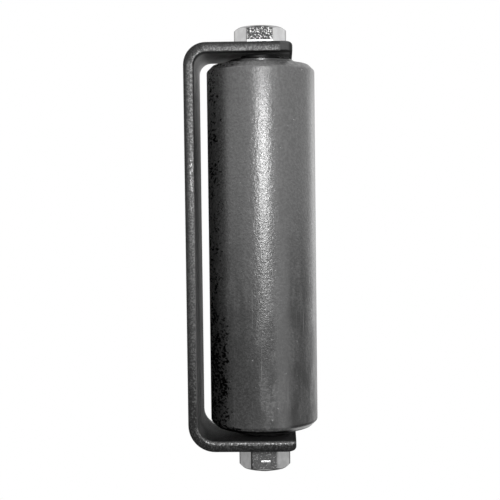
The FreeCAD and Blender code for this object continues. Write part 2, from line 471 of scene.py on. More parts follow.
def rubbed_and_lit_arrises(place, z, width, depth, bent, on_edge):
    """Mask of the inner arrises, at the bends and along the lower flange, where paint is rubbed off in
    spots and a painted highlight runs along them.
    """
    to_arris = STRAP_THICKNESS - depth
    broken = rubbed_edge(place, to_arris, ARRIS_REACH, ARRIS_BREAK_UP)
    # A continuous painted highlight along the arris, beside the rubbed spots
    line = ramp(to_arris, *ARRIS_HIGHLIGHT_LINE)
    bend_arris_part = bent * ramp(z, *BEND_ARRIS_HEIGHT)
    low_flange = ramp(z, *LOW_FLANGE_HEIGHT)
    on_low_edge = ramp(width, *LOW_FLANGE_WIDTH)
    arris_places = either(on_edge * bend_arris_part, on_low_edge * low_flange)
    return either(broken, line) * arris_places


def painted_glints_on_web(place, y, z, depth):
    """Mask of the painted glints in a short row down the web's front edge."""
    front_edge = ramp(y, -EDGE_START, -EDGE_FULL)
    line = band(depth, *GLINT_DEPTHS)
    part = band(z, *GLINT_HEIGHTS)
    return front_edge * line * part * patches(place, *GLINT_PATCHES)


def lit_and_shaded_inside(x, y, z, width, inside, paint):
    """Colour of the strap's paint with the painted light and the painted shade on its inner side."""
    off_arris = ramp(width, *UNDERSIDE_WIDTH)
    under_flange = ramp(z, *UNDERSIDE_HEIGHT)
    # Painted light: the underside of the upper flange is lighter, less so towards the bend
    lit_underside = inside * (under_flange * off_arris)
    underside_light = tones(ramp(x, *UNDERSIDE_X), UNDERSIDE_BEND_LIGHT_TONE, UNDERSIDE_LIGHT_TONE)
    # Painted light on the web's inner face below the upper bend
    corner = inside * ramp(z, *CORNER_HEIGHT) * ramp(x, *CORNER_X)
    lit_corner_paint = tones(corner, tones(lit_underside, paint, underside_light), CORNER_LIGHT_TONE)

    # Painted light on the lower flange's top face under the roller, where it lies in shade
    flange_top = ramp(z, *FLANGE_TOP_HEIGHT) * ramp(x, *FLANGE_TOP_X)
    lit_flange_top = tones(inside * flange_top, lit_corner_paint, FLANGE_TOP_LIGHT_TONE)
    from_front = y + STRAP_HALF_WIDTH
    # Painted light on the web's inner face along its front edge, wider lower down
    strip = ramp(z, *LIT_STRIP_HEIGHT)
    on_web = inside * ramp(x, *WEB_X)
    web_light = on_web * ramp(from_front, strip, strip * 0.5)
    lit_web = tones(web_light, lit_flange_top, WEB_LIGHT_TONE)

    # Painted light: a pale glow on the back half of the inner side in the upper bend
    in_bend = inside * ramp(z, *BEND_GLOW_HEIGHT)
    back_half = ramp(x, *BEND_GLOW_X) * ramp(y, *BEND_GLOW_Y)
    bend_glow = tones(in_bend * back_half, lit_web, BEND_GLOW_TONE)
    # Painted shade on the inner side near the front edge, on the web's upper part and under the upper
    # flange
    front_part = ramp(z, *FRONT_SHADE_HEIGHT) * ramp(from_front, *FRONT_SHADE_WIDTH)
    return tones(inside * front_part, bend_glow, FRONT_SHADE_TONE)


def strap_paint():
    """Satin black paint with a coarse skin: painted highlights on the crown of its edges and its arrises,
    which are also rubbed, painted light and shade inside, and painted shade low down.
    """
    material, shader, place = new_finish("satin_black_strap_paint", IOR=1.5, Specular_IOR_Level=0.3)
    skin, pebbles = pebbled_skin(place, PAINT_PEBBLES)
    worn = patches(place, *WEAR_PATCHES)
    x, y, z = axes(place)
    depth, bent = strap_depth(x, z)
    width = abs(y)
    on_edge = ramp(width, EDGE_START, EDGE_FULL)
    on_top = ramp(z, *CROWN_AND_TIP_HEIGHT)
    inside = ramp(depth, *INNER_SIDE_DEPTH)
    before_tip = ramp(x, TIP_START + TIP_FADE, TIP_START - TIP_FADE)

    # Painted highlight along the crown of the edges, strongest higher up; its speckles also get the metal
    # and roughness of paint worn thin
    crown = band(depth, *CROWN_DEPTHS)
    lit_crown = crown * on_edge * (on_top * mixed(bent, 1.0, CROWN_IN_BENDS))
    specks = patches(place, *SPECKLE_PATCHES)
    crown_highlight = lit_crown * (mixed(specks, CROWN_BETWEEN_SPECKLES, 1.0) * before_tip)
    bare = rubbed_and_lit_arrises(place, z, width, depth, bent, on_edge)
    rubbed_or_lit = either(crown_highlight, bare)
    # Painted shade in the lower inner corner, made darker by raising its metallic
    shaded_low_corner = inside * (ramp(z, *SHADED_CORNER_HEIGHT) * ramp(x, *SHADED_CORNER_X))

    # Painted shade: the paint is darker towards the bottom, where less light falls
    below = ramp(z, *LOW_SHADE_HEIGHT)
    paint = tones(below, tones(worn, PAINT_TONE, WORN_PAINT_TONE), LOW_SHADE_TONE)
    inner_half = ramp(depth, *GRAIN_DEPTH)
    grained = patches(place, *GRAIN_PATCHES) * (on_edge * inner_half)
    low_web = band(z, *LOW_WEB_HEIGHTS)
    grainy = tones(grained, paint, tones(low_web, GRAIN_TONE, LOW_GRAIN_TONE))
    lit_and_shaded = lit_and_shaded_inside(x, y, z, width, inside, grainy)
    pebbled = tones(pebbles, lit_and_shaded, PEBBLE_TONE)
    tip = (1.0 - before_tip) * on_top
    dulled = tones(tip * (1.0 - inside), pebbled, TIP_TONE)
    ended = tones(ramp(x, *TIP_END_X), dulled, TIP_END_TONE)
    # Lighter paint on the crown: the painted highlight
    highlighted_crown = tones(crown_highlight, ended, CROWN_HIGHLIGHT_TONE)
    # Painted glints: near-white specks that stand in for reflections
    glinting = tones(painted_glints_on_web(place, y, z, depth), highlighted_crown, GLINT_TONE)
    # Near white on the arrises: rubbed spots and a painted highlight
    wire(tones(bare, glinting, BARE_AND_HIGHLIGHT_TONE), shader["Base Color"])
    wire(either(rubbed_or_lit, shaded_low_corner) * RUBBED_LIT_AND_SHADED_METAL, shader["Metallic"])
    matt = mixed(worn, PAINT_ROUGHNESS, WORN_PAINT_ROUGHNESS)
    wire(mixed(rubbed_or_lit, matt, RUBBED_AND_LIT_ROUGHNESS), shader["Roughness"])
    relief(shader, skin, PAINT_RELIEF)
    return material


# Grime on the roller, thickest low down on the side that faces the web at rest, its other marks, and its
# painted light and shade
GRIME_SIDE = 0.36 * ROLLER_RADIUS
LOW_GRIME_SIDE = 0.24 * ROLLER_RADIUS
GRIME_FADE = 0.6 * ROLLER_RADIUS
NO_SPECKS = 0.9
SOME_SPECKS = 0.56
MOST_SPECKS = 0.485
CLUSTERING = 0.15
SPECK_FADE = 0.02
DARKER_SIDE = 0.15 * ROLLER_RADIUS
DARKER_FULL = -0.5 * ROLLER_RADIUS
LOW_DOWN_TOP = -0.01
LOW_DOWN_FULL = -0.07
REFLECTION_STRIP_X = 0.0102
REFLECTION_STRIP_STRENGTH = 0.45
SMEARS_IN_REFLECTION_STRIP = 0.25
DARKER_BETWEEN_SMEARS = 0.75
UPPER_STREAKS = 0.3
UPPER_HOLLOWS = 0.4

# Ranges on the roller: start and end of each, and the values there if not 0 and 1
TOWARD_BOTTOM_HEIGHT = (0.5 * ROLLER_END, -ROLLER_END)
FEWER_SPECKS_HEIGHT = (0.4 * ROLLER_END, 0.9 * ROLLER_END, 0.075, 0.115)
REFLECTION_STRIP_WIDTH = (0.0065, 0.001)
REFLECTION_STRIP_HEIGHT = (0.03, -0.02)
CHAMFER_TO_END = (1.1 * ROLLER_CHAMFER, 0.8 * ROLLER_CHAMFER)
SHADED_RIM_ABOVE_END = (0.7 * ROLLER_CHAMFER, 0.3 * ROLLER_CHAMFER)
DULL_TO_END = (0.03, 0.002, 0.0, 0.08)
MOTTLING = (0.0, 0.9, 0.0, 0.5)
HOLLOW_SKIN = (0.85, 0.55)

# Ranges across the roller, in shares of its radius, and bands above its end, in shares of its chamfer
CHAMFER_GRIME = (0.1, 0.6)
FRONT_GRIME = (-0.4, 0.0, 1.0, 0.75)
LOW_SIDE = (0.1, -0.3, 0.0, 0.4)
SHADE_BESIDE_WEB = (0.25, 0.8, 0.0, 0.1)
LIGHTER_EDGE = (0.82, 0.97, 1.0, 0.15)
LIT_EDGE_BY_WEB = (0.84, 0.97, 0.0, 0.3)
FAR_SIDE = (0.4, 0.6)
CRESCENT_BAND = (0.1, 0.4, 0.65, 0.9)
DARK_BAND_ABOVE = (0.8, 1.0, 1.15, 1.4)

# Grey levels of the roller's steel, of what lies on it and of its painted light and shade
STEEL_TONE = 0.19
LOW_STEEL_TONE = 0.15
STREAK_TONE = 0.15
LOW_STREAK_TONE = 0.1
HOLLOW_TONE = 0.085
LIGHT_BY_WEB_TONE = 0.4
REFLECTION_STRIP_TONE = 0.2
SMEAR_TONE = 0.06
SCRATCH_TONE = 0.21
DARKER_AND_SHADE_TONE = 0.07
MOTTLE_TONE = 0.014
DUST_TONE = 0.35
RUBBED_TONE = 0.3
DARK_BAND_TONE = 0.03
CRESCENT_TONE = 0.5
SPECK_AND_SHADE_TONE = 0.002

# Patches on the roller: size, noise at which they start and are full, and stretch
STREAK_PATCHES = (0.003, 0.36, 0.66, 25.0)
SMEAR_PATCHES = (0.006, 0.38, 0.62, 2.5)
SCRATCH_PATCHES = (0.0012, 0.645, 0.7, 40.0)
DUST_PATCHES = (0.0018, 0.7, 0.73)
MOTTLE_PATCHES = (0.0012, 0.44, 0.56, 0.8)
CLUSTER_PATCHES = (0.007, 0.35, 0.65)
SPECK_SIZE = 0.0019
SPECK_STRETCH = 0.6

# Skin and ends of the roller's steel, and how it reflects
STEEL_PEBBLES = 0.0013
STEEL_RELIEF = 0.00015
END_REACH = 0.0045
END_BREAK_UP = 0.0016
STEEL_METAL = 0.58
STEEL_ROUGHNESS = 0.315
LOW_STEEL_ROUGHNESS = 0.39
SMEAR_DULLING = 0.2
GRIME_ROUGHNESS = 0.7


def across_roller(value, start, end, low=0.0, high=1.0):
    """Ramp with its start and end in shares of the roller's radius."""
    return ramp(value, start * ROLLER_RADIUS, end * ROLLER_RADIUS, low, high)


def web_grime(place, height, low_down, to_end):
    """Masks of the black specks and the mottled grime on the roller's side towards the web at rest."""
    x, y, _ = axes(place)
    web_side = x * -1.0
    reach = mixed(low_down, GRIME_SIDE, LOW_GRIME_SIDE)
    near_web = ramp(web_side - reach, 0.0, GRIME_FADE)
    on_chamfer = ramp(to_end, *CHAMFER_TO_END)
    towards_web = either(near_web, on_chamfer * across_roller(web_side, *CHAMFER_GRIME))
    specked = towards_web * across_roller(y, *FRONT_GRIME)

    low_side = low_down * across_roller(x, *LOW_SIDE)
    mottling = either(ramp(specked, *MOTTLING), low_side)
    mottled = patches(place, *MOTTLE_PATCHES) * mottling

    clusters = patches(place, *CLUSTER_PATCHES)
    most = mixed(low_down, SOME_SPECKS, MOST_SPECKS)
    fewer = ramp(height, *FEWER_SPECKS_HEIGHT)
    speck_low = mixed(specked, NO_SPECKS, most) + fewer - clusters * CLUSTERING
    specks = patches(place, SPECK_SIZE, speck_low, speck_low + SPECK_FADE, SPECK_STRETCH)
    return specks, mottled


def darkening_and_painted_shade(x, low_down, smears):
    """Mask of the darkening low down on the web's half of the roller, and of the painted shade that runs
    thinly all the way up beside the web.
    """
    # Darker low down on the web's half, broken by the smears
    darker_low = ramp(x, DARKER_SIDE, DARKER_FULL) * low_down
    broken = darker_low * mixed(smears, DARKER_BETWEEN_SMEARS, 1.0)
    web_side = x * -1.0
    # Painted shade beside the web, fading at the silhouette
    shade_beside_web = across_roller(web_side, *SHADE_BESIDE_WEB)
    return either(broken, shade_beside_web * across_roller(web_side, *LIGHTER_EDGE))


def lower_end(x, height):
    """Masks at the roller's lower end: painted shade along its rim on the near side, a painted reflection
    on its chamfer on the far side and a darker band above that.
    """
    above_end = height + ROLLER_END
    shaded_lower_rim = ramp(above_end, *SHADED_RIM_ABOVE_END)
    far_side = across_roller(x, *FAR_SIDE)
    on_chamfer = band(above_end, *[share * ROLLER_CHAMFER for share in CRESCENT_BAND])
    on_arris = band(above_end, *[share * ROLLER_CHAMFER for share in DARK_BAND_ABOVE])
    # Painted shade along the near side of the lower rim
    painted_shade_rim = shaded_lower_rim * across_roller(x, *reversed(FAR_SIDE))
    return painted_shade_rim, on_chamfer * far_side, on_arris * far_side


def roller_steel():
    """Dark drawn steel with a pebbled skin, streaks and scratches, grimy by the web; painted shade
    darkens it low down, beside the web and on the lower rim, and painted light and reflections brighten a
    strip low down, its edge by the web and its lower chamfer.
    """
    material, shader, place = new_finish("dark_roller_steel")
    skin, _ = pebbled_skin(place, STEEL_PEBBLES)
    streaks = patches(place, *STREAK_PATCHES)
    smears = patches(place, *SMEAR_PATCHES)
    scratches = patches(place, *SCRATCH_PATCHES)
    dust = patches(place, *DUST_PATCHES)
    x, _, height = axes(place)
    to_end = ROLLER_END - abs(height)
    low_down = ramp(height, LOW_DOWN_TOP, LOW_DOWN_FULL)
    toward_bottom = ramp(height, *TOWARD_BOTTOM_HEIGHT)
    specks, mottled = web_grime(place, height, low_down, to_end)
    painted_shade_rim, painted_crescent, dark_band_above = lower_end(x, height)
    black = either(specks, painted_shade_rim)
    # Painted reflection: a lighter band low down, right of the axis, with fewer smears in it
    painted_reflection_strip = ramp(abs(x - REFLECTION_STRIP_X), *REFLECTION_STRIP_WIDTH) * ramp(height, *REFLECTION_STRIP_HEIGHT)
    smeared = smears * (toward_bottom * mixed(painted_reflection_strip, 1.0, SMEARS_IN_REFLECTION_STRIP))
    darkening_and_shade = darkening_and_painted_shade(x, low_down, smears)

    streaked = streaks * mixed(toward_bottom, UPPER_STREAKS, 1.0)
    # Painted shade: the steel and its streaks are darker towards the bottom, where the light falls off
    clean = tones(toward_bottom, STEEL_TONE, LOW_STEEL_TONE)
    drawn = tones(streaked, clean, tones(toward_bottom, STREAK_TONE, LOW_STREAK_TONE))
    hollows = ramp(skin, *HOLLOW_SKIN) * mixed(toward_bottom, UPPER_HOLLOWS, 1.0)
    # Painted light: paler near the silhouette on the web's side, where the web shuts out the light
    painted_light_by_web = across_roller(x * -1.0, *LIT_EDGE_BY_WEB)
    grained = tones(painted_light_by_web, tones(hollows, drawn, HOLLOW_TONE), LIGHT_BY_WEB_TONE)
    # The painted reflection band
    with_reflection_strip = tones(painted_reflection_strip * REFLECTION_STRIP_STRENGTH, grained, REFLECTION_STRIP_TONE)
    grimed = tones(smeared, with_reflection_strip, SMEAR_TONE)
    scratched = tones(scratches * toward_bottom, grimed, SCRATCH_TONE)
    # Darker low down on the web's half, and painted shade beside the web
    darkened = tones(mottled, tones(darkening_and_shade, scratched, DARKER_AND_SHADE_TONE), MOTTLE_TONE)
    dusty = tones(dust, darkened, DUST_TONE)
    rubbed = tones(rubbed_edge(place, to_end, END_REACH, END_BREAK_UP), dusty, RUBBED_TONE)
    shaded = tones(dark_band_above, rubbed, DARK_BAND_TONE)
    # Painted reflection: a light crescent on the far side of the lower chamfer
    edged = tones(painted_crescent, shaded, CRESCENT_TONE)
    # Black for the specks and for the painted shade on the lower rim
    wire(tones(black, edged, SPECK_AND_SHADE_TONE), shader["Base Color"])
    wire(mixed(black, STEEL_METAL, 1.0), shader["Metallic"])
    dull_end = ramp(to_end, *DULL_TO_END)
    dullness = dull_end + mixed(low_down, STEEL_ROUGHNESS, LOW_STEEL_ROUGHNESS)
    covered = either(smeared * SMEAR_DULLING, black)
    wire(mixed(covered, dullness, GRIME_ROUGHNESS), shader["Roughness"])
    relief(shader, skin, STEEL_RELIEF)
    return material


# Heights between which the front flats of head and nut have pits that hold painted shade, and the plate's
# other details
HEAD_FLAT_LOW = FLANGE_OUTSIDE + 0.0023
HEAD_FLAT_HIGH = BOLT_TOP - 0.0002
NUT_FLAT_LOW = NUT_BOTTOM + 0.001
NUT_FLAT_HIGH = -FLANGE_OUTSIDE
FLAT_FADE = 0.0004
FRONT_FLAT_Y = (0.00004 - HEX_HALF_WIDTH, 0.00001 - HEX_HALF_WIDTH)
DARK_ARRIS_X = HEX_HALF_SIDE - 0.0002
DARK_ARRIS_WIDTH = (0.0006, 0.0002)
DARK_ARRIS_Y = (0.001 - HEX_HALF_WIDTH, 0.0006 - HEX_HALF_WIDTH)
CONE_EDGE = (-0.0005, -0.0001)
HEX_CORNER_X = (0.0129, 0.0134)
DARK_ARRIS_TONE = 0.02
PLATE_PEBBLES = 0.0014
PLATE_RELIEF = 0.00012
RELIEF_OFF_FLAT = 0.3
CLOUD_PATCHES = (0.004, 0.35, 0.65)
PIT_SIZE = 0.00085
PIT_FADE = 0.12
PIT_ROUGHNESS = 0.5
FLAT_WEAR = 0.05

# Oil and turning marks on the collars, and the stains on all bare metal
COLLAR_RIM = (COLLAR_RADIUS - 0.0006, COLLAR_RADIUS - 0.0003)
UPPER_COLLAR_HEIGHT = (0.0, 0.01)
OIL_TONE = 0.05
OIL_STAIN_TONE = 0.03
RIM_TONE = 0.1
OIL_ROUGHNESS = 0.55
RIM_ROUGHNESS = 0.34
COLLAR_MARKS = 0.0004
COLLAR_RELIEF = 0.00002
STAIN_PATCHES = (0.006, 0.4, 0.7)


def plated(
    name, dull, bright, roughness, pit_shade_tone, pit_level, dark_arris,
    flat_low, flat_high, end, outward, edge_tone,
):
    """Clouded zinc plate: its front flat has pits darkened with painted shade, a dark line runs down its
    left arris, and its outer corners are dark.
    """
    material, shader, place = new_finish(name, Metallic=1.0)
    skin, _ = pebbled_skin(place, PLATE_PEBBLES)
    clouds = patches(place, *CLOUD_PATCHES)
    pits = patches(place, PIT_SIZE, pit_level, pit_level - PIT_FADE)
    x, y, z = axes(place)
    on_front = ramp(y, *FRONT_FLAT_Y)
    within = ramp(abs(x), HEX_HALF_SIDE, HEX_HALF_SIDE - FLAT_FADE)
    below_top = ramp(z, flat_high, flat_high - FLAT_FADE)
    on_flat = on_front * within * (ramp(z, flat_low, flat_low + FLAT_FADE) * below_top)
    # Painted shade in the pits, on the front flat only
    dulled = on_flat * pits
    # A dark line down the left arris of the front flat
    off_arris = abs(x + DARK_ARRIS_X)
    near_front = ramp(y, *DARK_ARRIS_Y, 0.0, dark_arris)
    dark_arris_line = ramp(off_arris, *DARK_ARRIS_WIDTH) * near_front * below_top

    cone_fall = (length(x, y) - HEX_FACE_RADIUS) * HEX_CHAMFER_SLOPE
    past_cone = (z - end) * outward + cone_fall
    # Darker at the outer corners and along the chamfer's edge
    edged = either(ramp(past_cone, *CONE_EDGE), ramp(abs(x), *HEX_CORNER_X))
    clouded_with_dark_edges = tones(edged, tones(clouds, dull, bright), edge_tone)
    # The pits on the front flat get their painted shade
    pits_and_shade = tones(dulled, clouded_with_dark_edges, pit_shade_tone)
    wire(tones(dark_arris_line, pits_and_shade, DARK_ARRIS_TONE), shader["Base Color"])
    worn_flat = mixed(on_flat, roughness, roughness + FLAT_WEAR)
    wire(mixed(dulled, worn_flat, PIT_ROUGHNESS), shader["Roughness"])
    relief(shader, skin * mixed(on_flat, RELIEF_OFF_FLAT, 1.0), PLATE_RELIEF)
    return material


def light_stains(place):
    """Mask of the light stains on bare metal."""
    return patches(place, *STAIN_PATCHES)


def turned_metal(name, dark, light, roughest, smoothest, pitch, depth):
    """Bare metal with the rings of its turning or grinding, lightly stained."""
    material, shader, place = new_finish(name, Metallic=1.0)
    stains = light_stains(place)
    wire(tones(stains, light, dark), shader["Base Color"])
    wire(mixed(stains, smoothest, roughest), shader["Roughness"])
    relief(shader, turning_marks(place, pitch), depth)
    return material


def oiled_collar_steel():
    """Turned steel blackened with oil, rubbed bright round the rim of the upper collar's disc."""
    material, shader, place = new_finish("oiled_turned_steel", Metallic=1.0)
    x, y, z = axes(place)
    rim = ramp(length(x, y), *COLLAR_RIM) * ramp(z, *UPPER_COLLAR_HEIGHT)
    oiled = tones(light_stains(place), OIL_TONE, OIL_STAIN_TONE)
    wire(tones(rim, oiled, RIM_TONE), shader["Base Color"])
    wire(mixed(rim, OIL_ROUGHNESS, RIM_ROUGHNESS), shader["Roughness"])
    relief(shader, turning_marks(place, COLLAR_MARKS), COLLAR_RELIEF)
    return material


def moulded(name, first, second, roughest, smoothest, grain, depth):
    """Moulded plastic or rubber with a fine skin and slight clouding."""
    material, shader, place = new_finish(name)
    skin, _ = pebbled_skin(place, grain)
    clouds = patches(place, *CLOUD_PATCHES)
    wire(tones(clouds, first, second), shader["Base Color"])
    wire(mixed(clouds, roughest, smoothest), shader["Roughness"])
    relief(shader, skin, depth)
    return material


FINISHES = {
    "strap_paint": strap_paint(),
    "roller_steel": roller_steel(),
    "zinc_plate": plated(
        "bright_zinc_plate", dull=0.54, bright=0.62, roughness=0.3,
        pit_shade_tone=0.06, pit_level=0.635, dark_arris=0.4,
        flat_low=HEAD_FLAT_LOW, flat_high=HEAD_FLAT_HIGH, end=BOLT_TOP, outward=1.0, edge_tone=0.34,
    ),
    "nut_steel": plated(
        "dull_zinc_plate", dull=0.37, bright=0.46, roughness=0.36,
        pit_shade_tone=0.12, pit_level=0.665, dark_arris=1.0,
        flat_low=NUT_FLAT_LOW, flat_high=NUT_FLAT_HIGH, end=NUT_BOTTOM, outward=-1.0, edge_tone=0.1,
    ),
    "turned_steel": oiled_collar_steel(),
    "spring_steel": turned_metal(
        "phosphated_spring_steel", dark=0.06, light=0.11, roughest=0.5, smoothest=0.4,
        pitch=0.0008, depth=0.00001,
    ),
    "bearing_steel": turned_metal(
        "ground_bearing_steel", dark=0.5, light=0.62, roughest=0.3, smoothest=0.2,
        pitch=0.0002, depth=0.000004,
    ),
    "ball_steel": turned_metal(
        "polished_ball_steel", dark=0.7, light=0.76, roughest=0.1, smoothest=0.06,
        pitch=0.0006, depth=0.000001,
    ),
    "cage_plastic": moulded(
        "natural_cage_plastic", first=(0.78, 0.74, 0.64, 1), second=(0.72, 0.67, 0.56, 1),
        roughest=0.55, smoothest=0.45, grain=0.0006, depth=0.00002,
    ),
    "seal_rubber": moulded(
        "black_seal_rubber", first=0.022, second=0.035,
        roughest=0.6, smoothest=0.5, grain=0.0004, depth=0.00002,
    ),
}


# Mesh helpers
def new_piece(name, mesh):
    """Object of a mesh, in the scene."""
    piece = bpy.data.objects.new(name, mesh)
    bpy.context.scene.collection.objects.link(piece)
    return piece


def made_plain(piece):
    """The piece with its modifiers turned into plain mesh."""
    graph = bpy.context.evaluated_depsgraph_get()
    mesh = bpy.data.meshes.new_from_object(piece.evaluated_get(graph), depsgraph=graph)
    piece.modifiers.clear()
    piece.data = mesh
    mesh.name = piece.name
    return piece


def even_shading(piece, sharp_angle=SHARP_ANGLE):
    """Smooth shading that keeps the large faces flat and the unrounded edges sharp."""
    piece.data.shade_smooth()
    piece.data.set_sharp_from_angle(angle=sharp_angle)
    weighted = piece.modifiers.new("even_shading", "WEIGHTED_NORMAL")
    weighted.weight = 100
    weighted.keep_sharp = True
    return made_plain(piece)


def outward_faces(mesh):
    """Turns a closed mesh's faces outwards."""
    form = bmesh.new()
    form.from_mesh(mesh)
    bmesh.ops.recalc_face_normals(form, faces=form.faces)
    form.to_mesh(mesh)
    form.free()


def joined(piece, other):
    """The first piece with the other's mesh added to it, all in its first material."""
    form = bmesh.new()
    form.from_mesh(piece.data)
    form.from_mesh(other.data)
    for face in form.faces:
        face.material_index = 0
    form.to_mesh(piece.data)
    form.free()
    bpy.data.objects.remove(other)
    return piece


def run_tree(piece, tree, **values):
    """The piece after a node tree, with the tree's inputs set by name."""
    modifier = piece.modifiers.new(tree.name, "NODES")
    modifier.node_group = tree
    inputs = [item for item in tree.interface.items_tree if item.in_out == "INPUT"]
    identifiers = {item.name: item.identifier for item in inputs}
    for name, value in values.items():
        modifier[identifiers[name.replace("_", " ")]] = value
    return made_plain(piece)


def stand_for(piece, node):
    """Gives a finished piece its body and hides the node that it stands for."""
    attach(piece, frame["nodes"][node]["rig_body"])
    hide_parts(node)


# Node trees for turned pieces and for the thread
def finished_piece(geometry, finish, result):
    """Gives a tree's geometry its finish and passes it on as plain geometry."""
    tree = geometry.tree
    whole = output_of(tree, "GeometryNodeRealizeInstances", {"Geometry": geometry})
    values = {"Geometry": whole, "Material": finish}
    wire(output_of(tree, "GeometryNodeSetMaterial", values), result["Piece"])


def turned_piece_tree():
    """Closed outline, rounded at its corners and swept round a guide circle about the roller's axis."""
    tree, given, result = new_tree(
        "turned_piece", "GeometryNodeTree",
        [
            ("Outline", "Geometry"), ("Guide Radius", "Float"), ("Turning Steps", "Int"),
            ("Arris Radius", "Float"), ("Arris Steps", "Int"), ("Axis", "Vector"),
            ("Finish", "Material"),
        ],
        [("Piece", "Geometry")],
    )
    section = output_of(tree, "GeometryNodeMeshToCurve", {"Mesh": given["Outline"]})
    values = {
        "Curve": section, "Count": given["Arris Steps"],
        "Radius": given["Arris Radius"], "Limit Radius": True,
    }
    rounded = output_of(tree, "GeometryNodeFilletCurve", values, mode="POLY")
    values = {"Resolution": given["Turning Steps"], "Radius": given["Guide Radius"]}
    guide = output_of(tree, "GeometryNodeCurvePrimitiveCircle", values)
    swept = output_of(tree, "GeometryNodeCurveToMesh", {"Curve": guide, "Profile Curve": rounded})
    values = {"Geometry": swept, "Translation": given["Axis"]}
    placed = output_of(tree, "GeometryNodeTransform", values)
    finished_piece(placed, given["Finish"], result)
    return tree


def threaded_rod_tree():
    """Rod with a right-hand thread, chamfered at its lower end, standing on the roller's axis."""
    tree, given, result = new_tree(
        "threaded_rod", "GeometryNodeTree",
        [
            ("Radius", "Float"), ("Depth", "Float"), ("Pitch", "Float"),
            ("Length", "Float"), ("End Chamfer", "Float"), ("Steps Round", "Int"), ("Rows", "Int"),
            ("Foot", "Vector"), ("Finish", "Material"),
        ],
        [("Piece", "Geometry")],
    )
    values = {
        "Vertices": given["Steps Round"], "Side Segments": given["Rows"],
        "Radius": given["Radius"], "Depth": given["Length"],
    }
    blank = output_of(tree, "GeometryNodeMeshCylinder", values, "Mesh", fill_type="NGON")
    x, y, z = axes(output_of(tree, "GeometryNodeInputPosition"))
    angle = calculated("ARCTAN2", y, x)
    height = z + given["Length"] * 0.5

    turns = height / given["Pitch"]
    phase = calculated("FRACT", turns - angle / math.tau)
    values = {0: abs(phase - 0.5), 1: 0.5 - THREAD_ROOT_FLAT / 2, 2: THREAD_CREST_FLAT / 2}
    ridge = output_of(tree, "ShaderNodeMapRange", values)
    cut = given["Radius"] - (1.0 - ridge) * given["Depth"]
    end_cone = given["Radius"] - given["End Chamfer"] + height
    radius = calculated("MINIMUM", cut, end_cone)

    new_x = radius * calculated("COSINE", angle)
    new_y = radius * calculated("SINE", angle)
    threaded = output_of(tree, "ShaderNodeCombineXYZ", {0: new_x, 1: new_y, 2: height})
    values = {0: threaded, 1: given["Foot"]}
    place = output_of(tree, "ShaderNodeVectorMath", values, operation="ADD")
    rod = output_of(tree, "GeometryNodeSetPosition", {"Geometry": blank, "Position": place})
    finished_piece(rod, given["Finish"], result)
    return tree


TURNED_PIECE = turned_piece_tree()
THREADED_ROD = threaded_rod_tree()


# Pieces
def turned_piece(name, node, slot, outline, arris):
    """Finely turned piece from the (radius, height) corners of its section, which stands for a node."""
    mesh = bpy.data.meshes.new(name)
    corners = [(radius - ROLLER_RADIUS, height, 0) for radius, height in outline]
    edges = [(corner, (corner + 1) % len(corners)) for corner in range(len(corners))]
    mesh.from_pydata(corners, edges, [])
    piece = run_tree(
        new_piece(name, mesh), TURNED_PIECE, Guide_Radius=ROLLER_RADIUS, Turning_Steps=TURNING_STEPS,
        Arris_Radius=arris, Arris_Steps=ARRIS_STEPS, Axis=(AXIS_X, 0, 0), Finish=FINISHES[slot],
    )
    outward_faces(piece.data)
    stand_for(even_shading(piece), node)


def make_roller_shell():
    """Thick-walled roller with chamfered ends, bearing seats, shoulders and retaining-ring grooves."""
    seat_radius = RACE_RADIUS + SEAT_FIT
    groove_radius = CLIP_RADIUS + SEAT_FIT
    groove_outer = ROLLER_END - CLIP_MARGIN
    upper_half = [
        (ROLLER_RADIUS, ROLLER_END - ROLLER_CHAMFER),
        (ROLLER_RADIUS - ROLLER_CHAMFER, ROLLER_END),
        (seat_radius + MOUTH_CHAMFER, ROLLER_END),
        (seat_radius, ROLLER_END - MOUTH_CHAMFER),
        (seat_radius, groove_outer),
        (groove_radius, groove_outer),
        (groove_radius, BEARING_OUTER),
        (seat_radius, BEARING_OUTER),
        (seat_radius, BEARING_INNER),
        (seat_radius - BEARING_SHOULDER, BEARING_INNER),
    ]
    lower_half = [(radius, -height) for radius, height in reversed(upper_half)]
    outline = upper_half + lower_half
    turned_piece("chamfered_roller", "roller_shell", "roller_steel", outline, ROLLER_ARRIS)


def make_collars():
    """Stepped collars between the flanges and the bearings."""
    disc_low = ROLLER_END + COLLAR_TO_ROLLER
    disc_high = disc_low + COLLAR_DISC
    outline = [
        (COLLAR_BORE_RADIUS, BEARING_OUTER),
        (SLEEVE_RADIUS, BEARING_OUTER),
        (SLEEVE_RADIUS, disc_low),
        (COLLAR_RADIUS, disc_low),
        (COLLAR_RADIUS, disc_high - COLLAR_CHAMFER),
        (COLLAR_RADIUS - COLLAR_CHAMFER, disc_high),
        (SLEEVE_RADIUS, disc_high),
        (SLEEVE_RADIUS, FLANGE_INSIDE),
        (COLLAR_BORE_RADIUS, FLANGE_INSIDE),
    ]
    for end, outward in (("upper", 1), ("lower", -1)):
        corners = [(radius, outward * height) for radius, height in outline]
        turned_piece(end + "_stepped_collar", end + "_collar", "turned_steel", corners, COLLAR_ARRIS)


def hex_copy(name, node, slot):
    """Copy of a hex node, in its finish, with its loose triangles merged into whole faces."""
    form = bmesh.new()
    form.from_mesh(frame["nodes"][node].data)
    bmesh.ops.remove_doubles(form, verts=form.verts, dist=MERGE_DISTANCE)
    bmesh.ops.dissolve_limit(form, angle_limit=FLAT_ANGLE, verts=form.verts, edges=form.edges)
    mesh = bpy.data.meshes.new(name)
    form.to_mesh(mesh)
    form.free()
    mesh.materials.clear()
    mesh.materials.append(FINISHES[slot])
    return new_piece(name, mesh)


